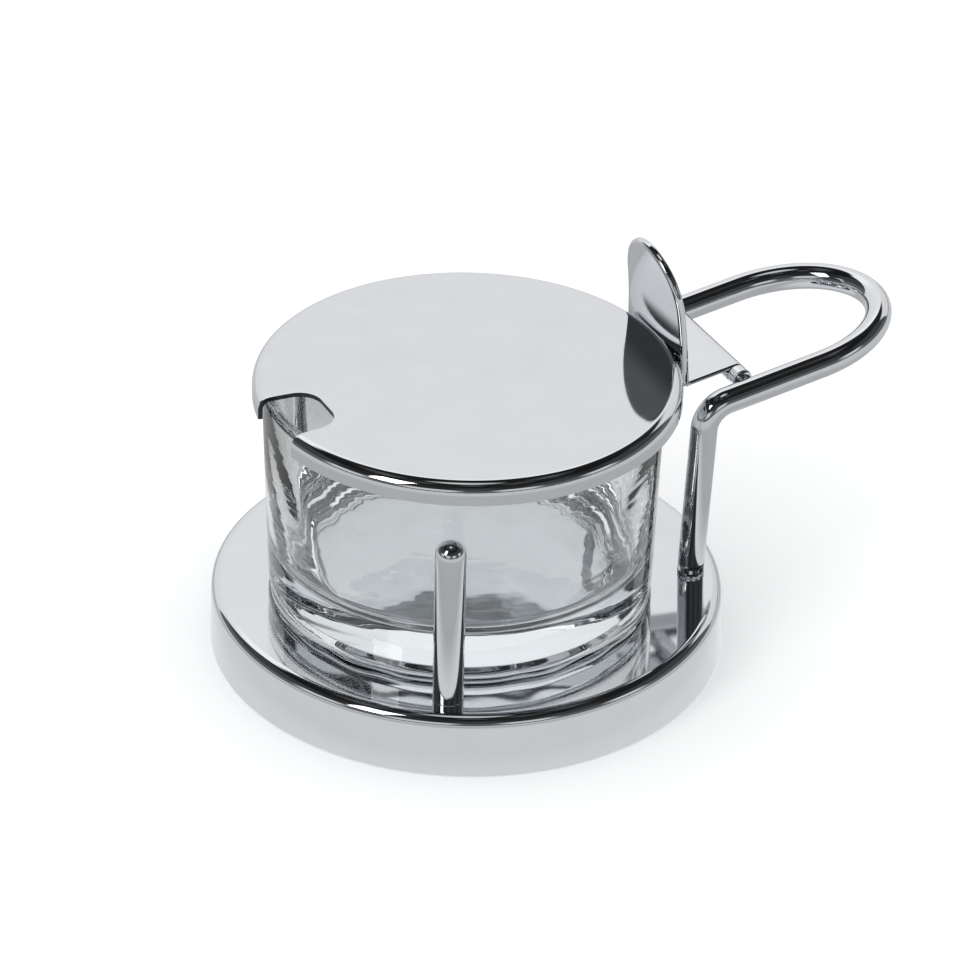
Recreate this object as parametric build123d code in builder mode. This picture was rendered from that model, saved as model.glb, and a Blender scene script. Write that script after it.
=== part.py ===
from build123d import *
import math
import os

# A table cheese container: steel base, glass jar, bent-rod handle and hinged lid.
# Millimetres. The origin is the centre of the resting face, +Z is up and the handle points to +X.

# Base: a pressed shell with an upright side, closed from below
base_margin = 3.5
base_draft = 0.4
base_height = 14.4
base_wall = 1.2
base_edge_radius = 2.5
base_foot_gap = 0.3
pad_inset = 2.3
pad_thickness = 1.6
pad_edge_chamfer = 0.5
plate_thickness = 1.5
plate_clearance = 0.1

# Glass jar: its side widens a little towards the mouth
jar_x = -1.6
jar_mouth_radius = 42.4
jar_side_flare = 1.2
jar_height = 49.1
jar_floor_thickness = 9.5
jar_mouth_wall = 2.6
jar_floor_wall = 3.6
jar_heel_radius = 3.0
jar_inner_corner_radius = 5.0
jar_rim_radius = 1.1
jar_foot_ring = 8.2
jar_punt_depth = 0.8
jar_punt_slope = 1.6

# Posts: two rods with domed tops, one each side of the jar
post_radius = 3.25
post_length = 38.0
post_angle = 119.5
post_jar_gap = 1.0

# Handle: one rod bent into a loop, with its two ends turned down as stems
rod_radius = 2.9
handle_half_width = 18.3
stem_setback = 2.5
stem_lean_run = 1.7
knee_drop = 5.9
knee_bend_radius = 6.0
handle_rise_angle = 8.1
handle_straight_run = 27.9
loop_reach = 22.9

# Hinge: a pin across the rods, through the rolled end of the leaf
pin_above_rod_line = 1.4
pin_radius = 1.0
pin_seat_depth = 2.6
pin_seat_clearance = 0.02
pin_running_clearance = 0.05
knuckle_radius = 2.2
leaf_length = 11.5
leaf_thickness = 1.0
spacer_length = 2.7
spacer_gap = 0.1

# Lid: flat sheet with a turned-down rim, and a slot for a spoon that widens outwards
lid_offset = 0.9
lid_rim_clearance = 1.8
lid_sheet = 1.0
lid_height = 4.8
lid_edge_radius = 1.9
lid_seat_gap = 0.2
slot_inner_half_width = 7.2
slot_outer_half_width = 8.3
slot_depth = 12.6
slot_corner_radius = 5.0

# Thumb tab: upright plate with an arched top that curls towards the lid's centre.
# It is brazed to a short flat on the lid's rim.
tab_flat_depth = 0.6
tab_thickness = 1.8
tab_lean_angle = 3.0
tab_straight_length = 10.0
tab_curl_radius = 85.0
tab_curl_angle = 17.0
tab_leaf_step = 0.1
tab_side_taper = 1.0
tab_shoulder_height = 13.5
tab_arch_height = 12.6

# Screws that hold posts and stems from inside the base
post_screw_radius = 2.0
stem_screw_radius = 1.5
screw_bite = 8.0
screw_fit_clearance = 0.05
shell_hole_clearance = 0.15
screw_head_ratio = 1.9
screw_head_height = 2.2
screw_head_edge_radius = 0.55
screw_socket_depth = 1.2
screw_socket_ratio = 0.71
washer_thickness = 0.8
washer_ratio = 2.3

# The jar and the lid over it
jar_foot_radius = jar_mouth_radius - jar_side_flare
jar_top = base_height + jar_height
lid_x = jar_x + lid_offset
lid_radius = jar_mouth_radius + lid_rim_clearance + lid_sheet
lid_under = jar_top + lid_seat_gap
lid_top = lid_under + lid_sheet
lid_bottom = lid_top - lid_height

# The handle's centre line: its stems stand clear of the jar, its knees below the lid's rim
rise = math.radians(handle_rise_angle)
stem_foot_x = jar_x + jar_foot_radius + stem_setback + rod_radius
knee_x = stem_foot_x + stem_lean_run
knee_z = lid_bottom - knee_drop
loop_start_x = knee_x + handle_straight_run
loop_start_z = knee_z + handle_straight_run * math.tan(rise)
handle_gap_half = handle_half_width - rod_radius

# The base reaches past the stems
base_radius = math.hypot(stem_foot_x, handle_half_width) + rod_radius + base_margin

# The tab stands on the lid's rim, and the leaf runs from its back to the pin
tab_front_x = lid_x + lid_radius - tab_flat_depth
pin_x = tab_front_x + tab_thickness + leaf_length
pin_z = knee_z + (pin_x - knee_x) * math.tan(rise) + pin_above_rod_line
leaf_half_width = handle_gap_half - spacer_length - 2 * spacer_gap
tab_foot = pin_z - leaf_length * math.tan(rise) + (knuckle_radius - leaf_thickness) / math.cos(rise)
tab_shoulder = lid_bottom + tab_shoulder_height
tab_foot_half_width = leaf_half_width + tab_leaf_step
tab_shoulder_half_width = tab_foot_half_width - tab_side_taper


def jar_radius_at(z):
    """Outer radius of the jar's side at height z."""
    share = (z - base_height) / jar_height
    return jar_foot_radius + share * (jar_mouth_radius - jar_foot_radius)


# The posts stand clear of the jar's side at the height of their tops
post_circle = jar_radius_at(base_height + post_length) + post_jar_gap + post_radius
post_feet = [
    (
        jar_x + post_circle * math.cos(math.radians(side * post_angle)),
        post_circle * math.sin(math.radians(side * post_angle)),
    )
    for side in (-1, 1)
]
stem_feet = [(stem_foot_x, side * handle_half_width) for side in (-1, 1)]


def screw_set(feet, radius):
    """One screw under each foot, its head and washer inside the base."""
    under = base_height - base_wall - washer_thickness
    with BuildPart() as screws:
        with BuildSketch(Plane.XY.offset(under - screw_head_height)):
            with Locations(*feet):
                Circle(radius * screw_head_ratio)
        extrude(amount=screw_head_height)
        fillet(screws.edges().group_by(Axis.Z)[0], screw_head_edge_radius)
        with BuildSketch(Plane.XY.offset(under)):
            with Locations(*feet):
                Circle(radius)
        extrude(amount=washer_thickness + base_wall + screw_bite)
        with BuildSketch(Plane.XY.offset(under - screw_head_height)):
            with Locations(*feet):
                RegularPolygon(radius * screw_socket_ratio, 6)
        extrude(amount=screw_socket_depth, mode=Mode.SUBTRACT)
    return screws


def post(foot):
    """Upright rod with a domed top and a tapped hole in its foot."""
    straight = post_length - post_radius
    with BuildPart() as rod:
        with BuildSketch(Plane.XY.offset(base_height)):
            with Locations(foot):
                Circle(post_radius)
        extrude(amount=straight)
        with Locations((foot[0], foot[1], base_height + straight)):
            Sphere(post_radius)
        with BuildSketch(Plane.XY.offset(base_height)):
            with Locations(foot):
                Circle(post_screw_radius + screw_fit_clearance)
        extrude(amount=screw_bite, mode=Mode.SUBTRACT)
    return rod


# Base shell, revolved from its wall's profile
with BuildPart() as base_shell:
    with BuildSketch(Plane.XZ) as shell_profile:
        with BuildLine():
            Polyline(
                (0, base_height),
                (base_radius, base_height),
                (base_radius + base_draft, base_foot_gap),
                (base_radius + base_draft - base_wall, base_foot_gap),
                (base_radius - base_wall, base_height - base_wall),
                (0, base_height - base_wall),
                close=True,
            )
        make_face()
        corners = shell_profile.vertices()
        fillet(corners.sort_by_distance((base_radius, base_height))[0], base_edge_radius)
        corners = shell_profile.vertices()
        inner_corner = (base_radius - base_wall, base_height - base_wall)
        fillet(corners.sort_by_distance(inner_corner)[0], base_edge_radius - base_wall)
    revolve(axis=Axis.Z)
    with BuildSketch(Plane.XY.offset(base_height - base_wall)):
        with Locations(*post_feet):
            Circle(post_screw_radius + shell_hole_clearance)
        with Locations(*stem_feet):
            Circle(stem_screw_radius + shell_hole_clearance)
    extrude(amount=base_wall, mode=Mode.SUBTRACT)

# Closing plate inside the shell, above the pad
with BuildPart() as base_plate:
    with BuildSketch(Plane.XY.offset(pad_thickness)):
        Circle(base_radius - base_wall - plate_clearance)
    extrude(amount=plate_thickness)

# Non-slip pad that the container rests on
with BuildPart() as base_pad:
    with BuildSketch():
        Circle(base_radius - base_wall - pad_inset)
    extrude(amount=pad_thickness)
    chamfer(base_pad.edges().group_by(Axis.Z)[0], pad_edge_chamfer)

# Glass jar, revolved about its own axis
with BuildPart() as glass_jar:
    with BuildSketch(Plane.XZ.shift_origin((jar_x, 0, 0))) as jar_profile:
        floor_z = base_height + jar_floor_thickness
        floor_radius = jar_foot_radius - jar_floor_wall
        punt_radius = jar_foot_radius - jar_foot_ring
        with BuildLine():
            Polyline(
                (0, base_height + jar_punt_depth),
                (punt_radius, base_height + jar_punt_depth),
                (punt_radius + jar_punt_slope, base_height),
                (jar_foot_radius, base_height),
                (jar_mouth_radius, jar_top),
                (jar_mouth_radius - jar_mouth_wall, jar_top),
                (floor_radius, floor_z),
                (0, floor_z),
                close=True,
            )
        make_face()
        for corner, radius in (
            ((jar_foot_radius, base_height), jar_heel_radius),
            ((jar_mouth_radius, jar_top), jar_rim_radius),
            ((jar_mouth_radius - jar_mouth_wall, jar_top), jar_rim_radius),
            ((floor_radius, floor_z), jar_inner_corner_radius),
        ):
            fillet(jar_profile.vertices().sort_by_distance(corner)[0], radius)
    revolve(axis=Axis((jar_x, 0, 0), (0, 0, 1)))

# The two posts
front_post = post(post_feet[0])
rear_post = post(post_feet[1])

# Screws and washers inside the base
post_screws = screw_set(post_feet, post_screw_radius)
stem_screws = screw_set(stem_feet, stem_screw_radius)
with BuildPart() as screw_washers:
    with BuildSketch(Plane.XY.offset(base_height - base_wall - washer_thickness)):
        for feet, radius in ((post_feet, post_screw_radius), (stem_feet, stem_screw_radius)):
            with Locations(*feet):
                Circle(radius * washer_ratio)
                Circle(radius + shell_hole_clearance, mode=Mode.SUBTRACT)
    extrude(amount=washer_thickness)

# Handle: stems, knees and loop are one rod, swept along its centre line
loop_plane = Plane(
    origin=(loop_start_x, 0, loop_start_z),
    x_dir=(math.cos(rise), 0, math.sin(rise)),
    z_dir=(-math.sin(rise), 0, math.cos(rise)),
)
stem_lean = stem_lean_run / (knee_z - base_height)
stem_start_x = stem_foot_x - stem_lean * rod_radius
stem_start_z = base_height - rod_radius
with BuildLine(loop_plane) as loop_end:
    EllipticalCenterArc((0, 0), loop_reach, handle_half_width, start_angle=-90, arc_size=180)
with BuildLine() as rod_path:
    for side in (-1, 1):
        FilletPolyline(
            (stem_start_x, side * handle_half_width, stem_start_z),
            (knee_x, side * handle_half_width, knee_z),
            (loop_start_x, side * handle_half_width, loop_start_z),
            radius=knee_bend_radius,
        )
    add(loop_end.line)
with BuildPart() as handle_rod:
    stem_direction = (knee_x - stem_start_x, 0, knee_z - stem_start_z)
    stem_start = (stem_start_x, -handle_half_width, stem_start_z)
    with BuildSketch(Plane(origin=stem_start, z_dir=stem_direction)):
        Circle(rod_radius)
    sweep(path=rod_path.wires()[0])
    split(bisect_by=Plane.XY.offset(base_height), keep=Keep.TOP)
    with BuildSketch(Plane.XY.offset(base_height)):
        with Locations(*stem_feet):
            Circle(stem_screw_radius + screw_fit_clearance)
    extrude(amount=screw_bite, mode=Mode.SUBTRACT)
    with BuildSketch(Plane.XZ):
        with Locations((pin_x, pin_z)):
            Circle(pin_radius + pin_seat_clearance)
    extrude(amount=handle_gap_half + pin_seat_depth, both=True, mode=Mode.SUBTRACT)

# Hinge pin, pressed into both rods
with BuildPart() as hinge_pin:
    with BuildSketch(Plane.XZ):
        with Locations((pin_x, pin_z)):
            Circle(pin_radius)
    extrude(amount=handle_gap_half + pin_seat_depth, both=True)

# Bushes on the pin, between the leaf and each rod
with BuildPart() as hinge_spacers:
    for side in (-1, 1):
        inner_y = side * (leaf_half_width + spacer_gap)
        with BuildSketch(Plane.XZ.offset(-inner_y)):
            with Locations((pin_x, pin_z)):
                Circle(knuckle_radius)
                Circle(pin_radius + pin_running_clearance, mode=Mode.SUBTRACT)
        extrude(amount=-side * spacer_length)

# Thumb tab: its side view is a bent strip, its front view an arch
lean = math.radians(tab_lean_angle)
with BuildPart() as thumb_tab:
    with BuildSketch(Plane.XZ):
        with BuildLine():
            strip_start = (
                tab_front_x + tab_thickness / 2 + (lid_bottom - tab_foot) * math.tan(lean),
                tab_foot,
            )
            strip = PolarLine(strip_start, tab_straight_length, 90 + tab_lean_angle)
            JernArc(strip @ 1, strip % 1, tab_curl_radius, tab_curl_angle)
        trace(line_width=tab_thickness)
    extrude(amount=tab_foot_half_width, both=True)
    with BuildSketch(Plane.YZ):
        with BuildLine():
            Polyline(
                (-tab_foot_half_width, tab_foot),
                (tab_foot_half_width, tab_foot),
                (tab_shoulder_half_width, tab_shoulder),
                (-tab_shoulder_half_width, tab_shoulder),
                close=True,
            )
        make_face()
        with Locations((0, tab_shoulder)):
            Ellipse(tab_shoulder_half_width, tab_arch_height)
    extrude(amount=2 * lid_radius, mode=Mode.INTERSECT)

# Hinge leaf: flat sheet from the tab's back, its outer end rolled round the pin
with BuildPart() as hinge_leaf:
    with BuildSketch(Plane.XZ):
        with Locations(Location((pin_x, pin_z), handle_rise_angle)):
            with Locations((-leaf_length / 2, knuckle_radius - leaf_thickness / 2)):
                Rectangle(leaf_length, leaf_thickness)
            Circle(knuckle_radius)
            Circle(pin_radius + pin_running_clearance, mode=Mode.SUBTRACT)
    extrude(amount=leaf_half_width, both=True)
    add(thumb_tab.part, mode=Mode.SUBTRACT)

# Lid: revolved sheet, with the spoon slot and the flat for the tab cut out
with BuildPart() as lid:
    with BuildSketch(Plane.XZ.shift_origin((lid_x, 0, 0))) as lid_profile:
        inner_edge = (lid_radius - lid_sheet, lid_under)
        with BuildLine():
            Polyline(
                (0, lid_top),
                (lid_radius, lid_top),
                (lid_radius, lid_bottom),
                (lid_radius - lid_sheet, lid_bottom),
                inner_edge,
                (0, lid_under),
                close=True,
            )
        make_face()
        fillet(lid_profile.vertices().sort_by_distance((lid_radius, lid_top))[0], lid_edge_radius)
        fillet(
            lid_profile.vertices().sort_by_distance(inner_edge)[0],
            lid_edge_radius - lid_sheet,
        )
    revolve(axis=Axis((lid_x, 0, 0), (0, 0, 1)))
    with BuildSketch(Plane.XY.offset(lid_bottom)) as slot:
        slot_inner_x = lid_x - lid_radius + slot_depth
        slot_outer_x = lid_x - lid_radius - lid_sheet
        with BuildLine():
            Polyline(
                (slot_inner_x, -slot_inner_half_width),
                (slot_outer_x, -slot_outer_half_width),
                (slot_outer_x, slot_outer_half_width),
                (slot_inner_x, slot_inner_half_width),
                close=True,
            )
        make_face()
        fillet(slot.vertices().group_by(Axis.X)[-1], slot_corner_radius)
    extrude(amount=lid_height, mode=Mode.SUBTRACT)
    add(thumb_tab.part, mode=Mode.SUBTRACT)

pieces = {
    "base_shell": base_shell,
    "base_plate": base_plate,
    "base_pad": base_pad,
    "glass_jar": glass_jar,
    "front_post": front_post,
    "rear_post": rear_post,
    "post_screws": post_screws,
    "stem_screws": stem_screws,
    "screw_washers": screw_washers,
    "handle_rod": handle_rod,
    "hinge_pin": hinge_pin,
    "hinge_spacers": hinge_spacers,
    "hinge_leaf": hinge_leaf,
    "thumb_tab": thumb_tab,
    "lid": lid,
}
os.makedirs("parts", exist_ok=True)
for name, piece in pieces.items():
    piece.part.label = name
    export_step(piece.part, f"parts/{name}.step")
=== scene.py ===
"""Looks of a table cheese container: a steel stand and a hinged steel lid round a clear glass jar.

Sizes in the classes are in millimetres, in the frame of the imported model: +Z is up, the origin is
the centre of the resting face and the handle points to +X. Meshes are made in metres.
"""

from __future__ import annotations

import logging
import math
from dataclasses import dataclass, field
from enum import Enum
from typing import Any, Sequence

import bmesh
import bpy
import numpy as np
from mathutils import Matrix, Vector

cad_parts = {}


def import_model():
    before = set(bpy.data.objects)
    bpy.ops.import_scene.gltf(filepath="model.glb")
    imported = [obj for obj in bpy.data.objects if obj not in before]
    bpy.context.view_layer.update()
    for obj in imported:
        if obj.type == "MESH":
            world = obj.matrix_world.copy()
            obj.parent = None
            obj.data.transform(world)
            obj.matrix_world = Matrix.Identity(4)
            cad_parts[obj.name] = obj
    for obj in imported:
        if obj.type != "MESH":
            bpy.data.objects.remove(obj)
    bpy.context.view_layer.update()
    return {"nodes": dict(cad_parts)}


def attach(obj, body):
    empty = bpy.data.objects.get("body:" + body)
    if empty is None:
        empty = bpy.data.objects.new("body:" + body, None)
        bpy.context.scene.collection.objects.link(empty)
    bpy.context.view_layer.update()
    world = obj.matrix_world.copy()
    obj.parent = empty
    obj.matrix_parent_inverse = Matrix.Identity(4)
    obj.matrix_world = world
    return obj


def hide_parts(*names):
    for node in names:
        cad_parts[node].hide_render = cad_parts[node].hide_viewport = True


MM = 0.001
IMAGE_PIXELS = 980
# Steps round a rounded corner, and the columns' angles round a turned piece
ARC_STEPS = 14
COLUMN_ANGLES = np.linspace(0, 2 * np.pi, 288, endpoint=False)
# Points of a mesh that are nearer to each other than this, in metres, are one
SAME_POINT = 1e-7

Tree = bpy.types.NodeTree
Socket = bpy.types.NodeSocket
Piece = bpy.types.Object
Pair = tuple[float, float]
Pairs = tuple[Pair, ...]
Triple = tuple[float, float, float]

logging.basicConfig(level=logging.INFO, format="%(message)s")
LOG = logging.getLogger("cheese_container")


class Body(Enum):
    """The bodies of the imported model."""

    BASE = "base"
    JAR = "jar"
    LID = "lid"


class Slot(Enum):
    """The record's material slots that new pieces take their finish from."""

    POLISHED = "polished_steel"
    GLASS = "jar_glass"
    RUBBER = "pad_rubber"


class Axis(Enum):
    """The axis that a turned piece is turned about."""

    Z = "z"
    Y = "y"


def linear(colour: str) -> tuple[float, float, float, float]:
    """Turn an sRGB hex colour into linear values.

    Args:
        colour: A colour such as "#d8dbde".

    Returns:
        Red, green, blue and an alpha of 1, all linear.
    """
    parts = np.array([int(colour[i : i + 2], 16) for i in (1, 3, 5)]) / 255
    straight = np.where(parts <= 0.04045, parts / 12.92, ((parts + 0.055) / 1.055) ** 2.4)
    return (*(float(part) for part in straight), 1.0)


def add_node(
    tree: Tree, kind: str, inputs: dict[Any, Any] | None = None, **settings: Any
) -> bpy.types.Node:
    """Add one node with its settings and links.

    Args:
        tree: The node tree that gets the node.
        kind: The node's type name.
        inputs: Sockets by name or number, each with a value or with an output socket to link.
        **settings: The node's own properties.

    Returns:
        The new node.
    """
    node = tree.nodes.new(kind)
    for name, value in settings.items():
        setattr(node, name, value)
    for socket, value in (inputs or {}).items():
        if isinstance(value, Socket):
            tree.links.new(value, node.inputs[socket])
        else:
            node.inputs[socket].default_value = value
    return node


def empty_tree(material: bpy.types.Material | bpy.types.World) -> Tree:
    """Switch a material or a world to nodes and clear its tree."""
    material.use_nodes = True
    material.node_tree.nodes.clear()
    return material.node_tree


def new_material(name: str) -> tuple[bpy.types.Material, Tree, Socket]:
    """Make an empty material, and give it, its tree and the piece's own coordinates."""
    material = bpy.data.materials.new(name)
    tree = empty_tree(material)
    return material, tree, add_node(tree, "ShaderNodeTexCoord").outputs["Object"]


def dress_surface(
    tree: Tree,
    pattern: Socket,
    tones: tuple[str, str],
    metallic: float,
    roughness: float | Socket,
    normal: Socket,
) -> None:
    """Close a material with a surface whose colour goes from one tone to another.

    Args:
        tree: The material's tree.
        pattern: The pattern that the colour follows.
        tones: The two tones, as sRGB hex colours.
        metallic: 1 for a metal and 0 for anything else.
        roughness: The surface's roughness.
        normal: The raised surface's direction.
    """
    colour = add_node(
        tree,
        "ShaderNodeMix",
        {"Factor": pattern, 6: linear(tones[0]), 7: linear(tones[1])},
        data_type="RGBA",
    )
    shader = add_node(
        tree,
        "ShaderNodeBsdfPrincipled",
        {
            "Base Color": colour.outputs[2],
            "Metallic": metallic,
            "Roughness": roughness,
            "Normal": normal,
        },
    )
    add_node(tree, "ShaderNodeOutputMaterial", {"Surface": shader.outputs["BSDF"]})


def raised_pattern(
    tree: Tree,
    place: Socket,
    size: float,
    depth: float,
    detail: float = 1.0,
    stretch: Triple = (1.0, 1.0, 1.0),
    beneath: Socket | None = None,
) -> tuple[Socket, Socket]:
    """Raise a surface by a random pattern.

    Args:
        tree: The material's tree.
        place: The coordinates that the pattern follows.
        size: The pattern's size, in millimetres.
        depth: How far it raises the surface, in millimetres.
        detail: How many finer patterns it holds.
        stretch: What the coordinates are multiplied by, where the pattern is long or flat.
        beneath: The direction of the surface that it lies on, where that is raised already.

    Returns:
        The pattern's value and the raised surface's direction.
    """
    along = add_node(tree, "ShaderNodeMapping", {"Vector": place, "Scale": stretch})
    pattern = add_node(
        tree,
        "ShaderNodeTexNoise",
        {"Vector": along.outputs["Vector"], "Scale": 1 / (size * MM), "Detail": detail},
    ).outputs["Fac"]
    below = {} if beneath is None else {"Normal": beneath}
    raised = add_node(tree, "ShaderNodeBump", {"Height": pattern, "Distance": depth * MM, **below})
    return pattern, raised.outputs["Normal"]


@dataclass(frozen=True)
class PolishedSteel:
    """18/10 stainless steel, pressed or drawn and then polished to a mirror.

    It mirrors its surroundings sharply, a little cool in tone. Polishing leaves a faint ripple and
    hairlines, which soften the edges of what it mirrors.
    """

    name: str = "polished_stainless_steel"
    tone: str = "#dddfe2"
    deep_tone: str = "#d5d7da"
    smooth: float = 0.03
    hazed: float = 0.075
    haze_size: float = 9.0
    haze_low: float = 0.35
    haze_high: float = 0.75
    hairline_spacing: float = 0.35
    hairline_depth: float = 0.0012
    hairline_stretch: Triple = (1.0, 1.0, 6.0)
    ripple_size: float = 11.0
    ripple_depth: float = 0.012

    def material(self) -> bpy.types.Material:
        """Make the material."""
        steel, tree, place = new_material(self.name)
        haze = add_node(
            tree,
            "ShaderNodeTexNoise",
            {"Vector": place, "Scale": 1 / (self.haze_size * MM), "Detail": 4.0},
        ).outputs["Fac"]
        rough = add_node(
            tree,
            "ShaderNodeMapRange",
            {
                "Value": haze,
                "From Min": self.haze_low,
                "From Max": self.haze_high,
                "To Min": self.smooth,
                "To Max": self.hazed,
            },
        )
        _, waved = raised_pattern(tree, place, self.ripple_size, self.ripple_depth)
        # Hairlines run round the upright axis, as the polishing wheel leaves them
        spacing, depth, stretch = self.hairline_spacing, self.hairline_depth, self.hairline_stretch
        _, scored = raised_pattern(tree, place, spacing, depth, 2.0, stretch, waved)
        tones = (self.deep_tone, self.tone)
        dress_surface(tree, haze, tones, 1.0, rough.outputs["Result"], scored)
        return steel


@dataclass(frozen=True)
class BrushedSteel:
    """Plain stainless sheet and screws as the mill leaves them: grey, with fine parallel lines."""

    name: str = "mill_finished_stainless_steel"
    tone: str = "#b4b7ba"
    deep_tone: str = "#9a9da1"
    smooth: float = 0.28
    scored: float = 0.48
    line_spacing: float = 0.5
    line_depth: float = 0.004
    line_stretch: Triple = (0.03, 1.0, 1.0)

    def material(self) -> bpy.types.Material:
        """Make the material."""
        steel, tree, place = new_material(self.name)
        # The lines are drawn about three times as wide as real ones, so that they show
        lines, scored = raised_pattern(
            tree, place, self.line_spacing, self.line_depth, 3.0, self.line_stretch
        )
        rough = add_node(
            tree,
            "ShaderNodeMapRange",
            {"Value": lines, "To Min": self.smooth, "To Max": self.scored},
        )
        tones = (self.deep_tone, self.tone)
        dress_surface(tree, lines, tones, 1.0, rough.outputs["Result"], scored)
        return steel


@dataclass(frozen=True)
class PressedGlass:
    """Clear soda-lime glass, pressed in a mould and fire-polished.

    It is clear with a faint cool tone where it is thick. The mould leaves the skin slightly wavy,
    which bends what is seen through it.
    """

    name: str = "pressed_soda_lime_glass"
    tone: str = "#fbfcfc"
    ior: float = 1.51
    wave_size: float = 9.0
    wave_depth: float = 0.03
    wave_stretch: Triple = (0.5, 0.5, 3.5)
    body_tone: str = "#9fc3d6"
    absorption: float = 2.5

    def material(self) -> bpy.types.Material:
        """Make the material."""
        glass, tree, place = new_material(self.name)
        # The skin's waves lie level, about seven times as long as they are high
        _, waved = raised_pattern(
            tree, place, self.wave_size, self.wave_depth, stretch=self.wave_stretch
        )
        shader = add_node(
            tree,
            "ShaderNodeBsdfPrincipled",
            {
                "Base Color": linear(self.tone),
                "Roughness": 0.0,
                "IOR": self.ior,
                "Transmission Weight": 1.0,
                "Normal": waved,
            },
        )
        depth = add_node(
            tree,
            "ShaderNodeVolumeAbsorption",
            {"Color": linear(self.body_tone), "Density": self.absorption},
        )
        add_node(
            tree,
            "ShaderNodeOutputMaterial",
            {"Surface": shader.outputs["BSDF"], "Volume": depth.outputs["Volume"]},
        )
        return glass


@dataclass(frozen=True)
class PadRubber:
    """Moulded black rubber: dull, with a fine grain that turns its highlights soft."""

    name: str = "moulded_black_rubber"
    tone: str = "#2b2c2d"
    worn_tone: str = "#3c3d3e"
    roughness: float = 0.72
    grain: float = 0.6
    grain_depth: float = 0.03

    def material(self) -> bpy.types.Material:
        """Make the material."""
        rubber, tree, place = new_material(self.name)
        grain, pitted = raised_pattern(tree, place, self.grain, self.grain_depth, 3.0)
        dress_surface(tree, grain, (self.tone, self.worn_tone), 0.0, self.roughness, pitted)
        return rubber


@dataclass
class Finishes:
    """The container's materials, made once.

    The cut edge is sheet steel as the shears leave it: dull, with its tone painted near black for
    the shade on the narrow cut faces.
    """

    polished: bpy.types.Material = field(default_factory=PolishedSteel().material)
    plain: bpy.types.Material = field(default_factory=BrushedSteel().material)
    # Painted shade: the cut faces' tone is near black, darker than steel, for the shade that lies
    # on them
    shaded_cut_edge: bpy.types.Material = field(
        default_factory=BrushedSteel("sheared_steel_edge_painted_dark", "#55585c", "#333538").material
    )
    glass: bpy.types.Material = field(default_factory=PressedGlass().material)
    rubber: bpy.types.Material = field(default_factory=PadRubber().material)


def unit(rows: np.ndarray) -> np.ndarray:
    """Give each row of an array, or a single one, the length one."""
    return rows / np.linalg.norm(rows, axis=-1, keepdims=True)


def rounded_line(corners: Sequence[Triple], support: float = 0.3) -> np.ndarray:
    """Round the corners of an open line.

    A corner's arc touches both of its runs at the radius over the tangent of half the corner's
    angle, and its points turn evenly about the arc's centre. A support point lies on each run just
    past the arc, so that the flat beside it shades flat.

    Args:
        corners: Each corner as its two coordinates and its radius, 0 for a sharp one.
        support: How far past an arc its support points lie, in millimetres.

    Returns:
        The line's points, one row each.
    """
    places = np.array([corner[:2] for corner in corners], float)
    parts = [places[:1]]
    for index in range(1, len(corners) - 1):
        here, radius = places[index], corners[index][2]
        if radius == 0:
            parts.append(here[None])
            continue
        back = unit(places[index - 1] - here)
        ahead = unit(places[index + 1] - here)
        half = 0.5 * math.acos(float(np.clip(back @ ahead, -1, 1)))
        reach = radius / math.tan(half)
        centre = here + unit(back + ahead) * radius / math.sin(half)
        first = here + back * reach - centre
        last = here + ahead * reach - centre
        turn = math.pi - 2 * half
        share = np.linspace(0, 1, ARC_STEPS + 1)[:, None]
        arc = (np.sin((1 - share) * turn) * first + np.sin(share * turn) * last) / math.sin(turn)
        parts.append((here + back * (reach + support))[None])
        parts.append(centre + arc)
        parts.append((here + ahead * (reach + support))[None])
    parts.append(places[-1:])
    return np.concatenate(parts)


def divided(line: np.ndarray, step: float) -> np.ndarray:
    """Divide a line's long runs, keeping its own points.

    Args:
        line: The line's points.
        step: The longest run that stays whole, in millimetres.

    Returns:
        The points, with each longer run cut into equal parts.
    """
    runs = np.diff(line, axis=0)
    counts = np.maximum(1, np.ceil(np.linalg.norm(runs, axis=1) / step).astype(int))
    start = np.repeat(np.arange(len(runs)), counts)
    order = np.arange(counts.sum()) - np.repeat(np.cumsum(counts) - counts, counts)
    share = (order / np.repeat(counts, counts))[:, None]
    return np.concatenate([line[start] + share * runs[start], line[-1:]])


def in_scene(name: str, data: bpy.types.ID) -> Piece:
    """Put a mesh, a lamp or a camera into the scene as an object at the origin."""
    piece = bpy.data.objects.new(name, data)
    bpy.context.scene.collection.objects.link(piece)
    return piece


def grid_piece(name: str, grid: np.ndarray, closed: bool = True) -> Piece:
    """Make a smooth mesh from a grid of points.

    Neighbouring points of the grid are joined by four-sided faces. Points that coincide, as at a
    pole or a seam, become one.

    Args:
        name: The new object's name.
        grid: Points in millimetres, as rows by columns by three.
        closed: Whether the last column joins the first.

    Returns:
        The new object, at the origin.
    """
    rows, columns = grid.shape[:2]
    index = np.arange(rows * columns).reshape(rows, columns)
    if closed:
        index = np.concatenate([index, index[:, :1]], axis=1)
    faces = np.stack(
        [index[:-1, :-1], index[:-1, 1:], index[1:, 1:], index[1:, :-1]], axis=-1
    ).reshape(-1, 4)
    points = grid.reshape(-1, 3) * MM
    # Faces lose the corners that fall together
    cells = np.round(points / SAME_POINT).astype(np.int64)
    _, first, same = np.unique(cells, axis=0, return_index=True, return_inverse=True)
    corners = same.reshape(-1)[faces]
    apart = corners != np.roll(corners, 1, axis=1)
    kept = [tuple(face[mask]) for face, mask in zip(corners, apart) if mask.sum() > 2]
    mesh = bpy.data.meshes.new(name)
    mesh.from_pydata(points[first], [], [tuple(int(i) for i in face) for face in kept])
    mesh.validate()
    mesh.shade_smooth()
    return in_scene(name, mesh)


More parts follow.
